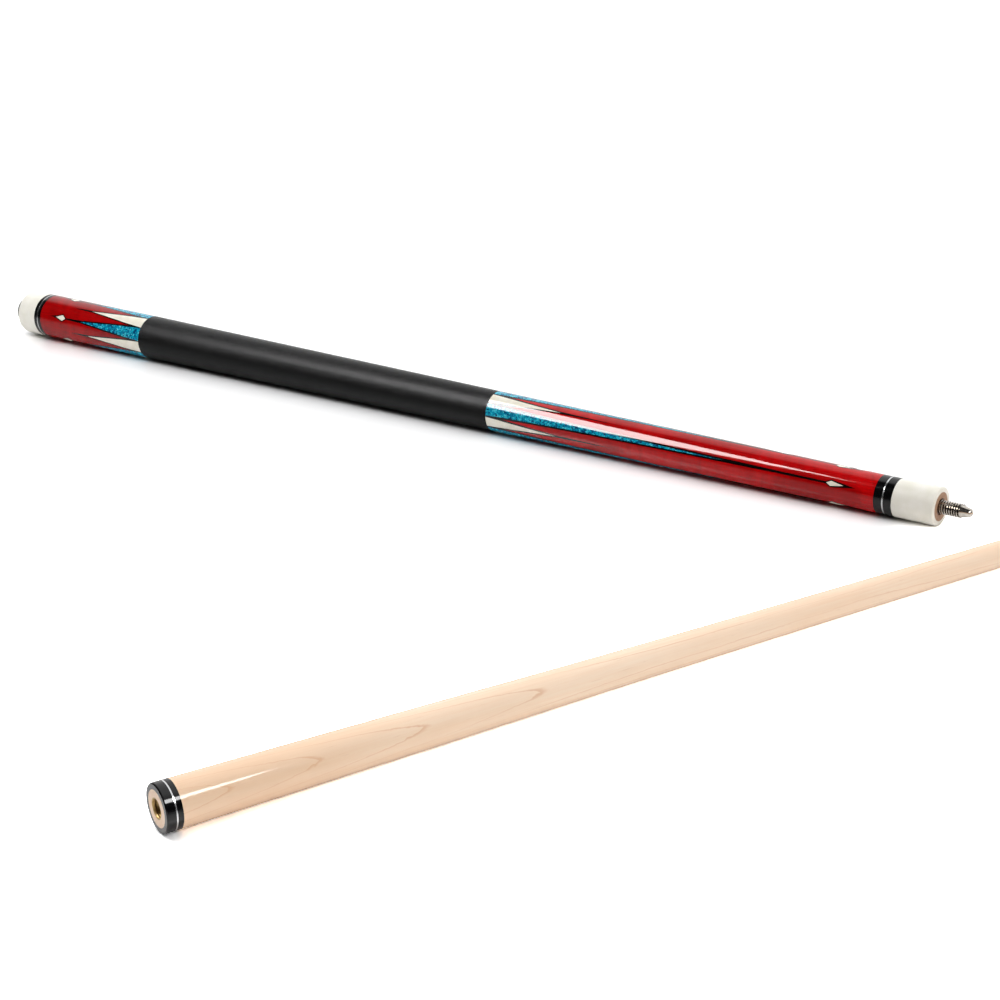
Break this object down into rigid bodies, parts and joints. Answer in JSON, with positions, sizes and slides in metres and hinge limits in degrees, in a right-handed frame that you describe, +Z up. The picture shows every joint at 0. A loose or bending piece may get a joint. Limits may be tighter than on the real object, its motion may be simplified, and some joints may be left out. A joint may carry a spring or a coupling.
{
  "type": "pool cue",
  "caption": "Two-piece pool cue taken apart: red butt with leather grip and inlaid points, steel joint pin, loose maple shaft with brass insert and leather tip.",
  "frame": {"origin": "middle of the two sticks' footprint, on the table they lie on", "axes": "+X along the butt from its bumper to its joint pin, +Z up from the table"},
  "size_m": [0.89, 0.6928, 0.0313],
  "materials": {
    "plain_maple": "satin",
    "ivory_plastic": "gloss",
    "black_plastic": "gloss",
    "silver_ring": "polished",
    "red_wood": "gloss lacquer",
    "black_veneer": "gloss lacquer",
    "teal_stone": "gloss",
    "cream_inlay": "gloss",
    "steel": "machined",
    "wrap_leather": "satin",
    "pin_steel": "polished",
    "rubber": "matte",
    "shaft_maple": "satin lacquer",
    "brass": "turned",
    "ferrule_white": "gloss",
    "pad_fibre": "matte",
    "tip_leather": "matte"
  },
  "bodies": {
    "butt": {"handle_core": "plain_maple", "butt_cap": "ivory_plastic", "cap_ring_rear": "black_plastic", "cap_ring_silver": "silver_ring", "cap_ring_front": "black_plastic", "sleeve_wood": "red_wood", "sleeve_outlines": "black_veneer", "sleeve_teal_points": "teal_stone", "sleeve_cream_points": "cream_inlay", "sleeve_diamonds": "cream_inlay", "weight_bolt": "steel", "grip_wrap": "wrap_leather", "forearm_stud": "steel", "forearm_wood": "red_wood", "forearm_outlines": "black_veneer", "forearm_teal_points": "teal_stone", "forearm_cream_points": "cream_inlay", "forearm_diamonds": "cream_inlay", "joint_ring_rear": "black_plastic", "joint_ring_silver": "silver_ring", "joint_ring_front": "black_plastic", "joint_collar": "ivory_plastic", "joint_pin": "pin_steel"},
    "washer": {"bumper_washer": "steel"},
    "bumper": {"rubber_bumper": "rubber", "bumper_stud": "steel"},
    "shaft": {"shaft_wood": "shaft_maple", "shaft_ring_outer": "black_plastic", "shaft_ring_silver": "silver_ring", "shaft_ring_inner": "black_plastic", "shaft_insert": "brass", "ferrule": "ferrule_white", "tip_pad": "pad_fibre", "leather_tip": "tip_leather"}
  },
  "joints": [
    {"name": "bumper_travel", "type": "slide", "parent": "butt", "child": "washer", "axis": [-1, 0, 0.007], "range_m": [0, 0.01954]},
    {"name": "bumper_turn", "type": "hinge", "parent": "washer", "child": "bumper", "pos_m": [-0.44495, 0.13278, 0.01598], "axis": [-1, 0, 0.007], "range_deg": [0, 3600.5]},
    {"name": "shaft_swing", "type": "hinge", "parent": "butt", "child": "shaft", "pos_m": [0.60416, -0.22395, 0], "axis": [0, 0, 1], "range_deg": [-69.1, 0]}
  ],
  "couplings": [
    {"joint": "bumper_turn", "follows": "bumper_travel", "rad_per_m": 3215.6}
  ]
}
